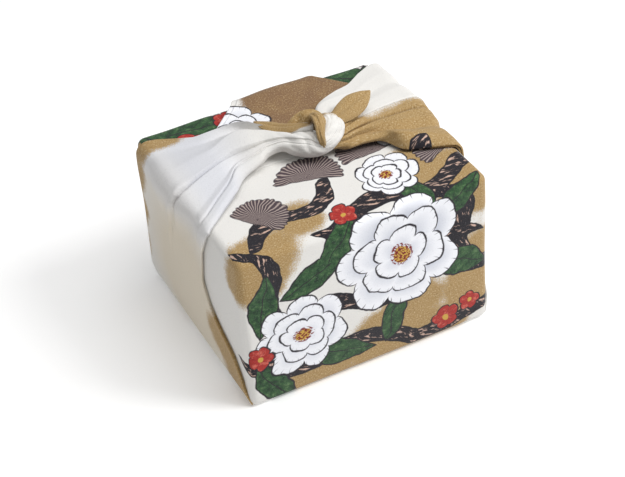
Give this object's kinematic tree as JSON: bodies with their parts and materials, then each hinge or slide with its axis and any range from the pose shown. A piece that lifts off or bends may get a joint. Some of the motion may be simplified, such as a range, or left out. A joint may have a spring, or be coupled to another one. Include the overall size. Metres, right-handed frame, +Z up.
{
  "type": "furoshiki wrap",
  "caption": "Square wrapping cloth folded round a box-shaped space, its side corners pleated over the top and tied in a flat reef knot with short free ends.",
  "frame": {"origin": "middle of the flat base of the wrapped space, on the surface that the bundle stands on", "axes": "+Z up, +X along the wider side of the bundle towards the right tie, front flap rising from the -Y side"},
  "size_m": [0.2343, 0.2077, 0.1834],
  "materials": {
    "printed_cotton": "matt crepe-woven cotton with an all-over print in ochre, white, green, red and black"
  },
  "bodies": {
    "root": {"furoshiki_cloth": "printed_cotton"}
  },
  "joints": []
}
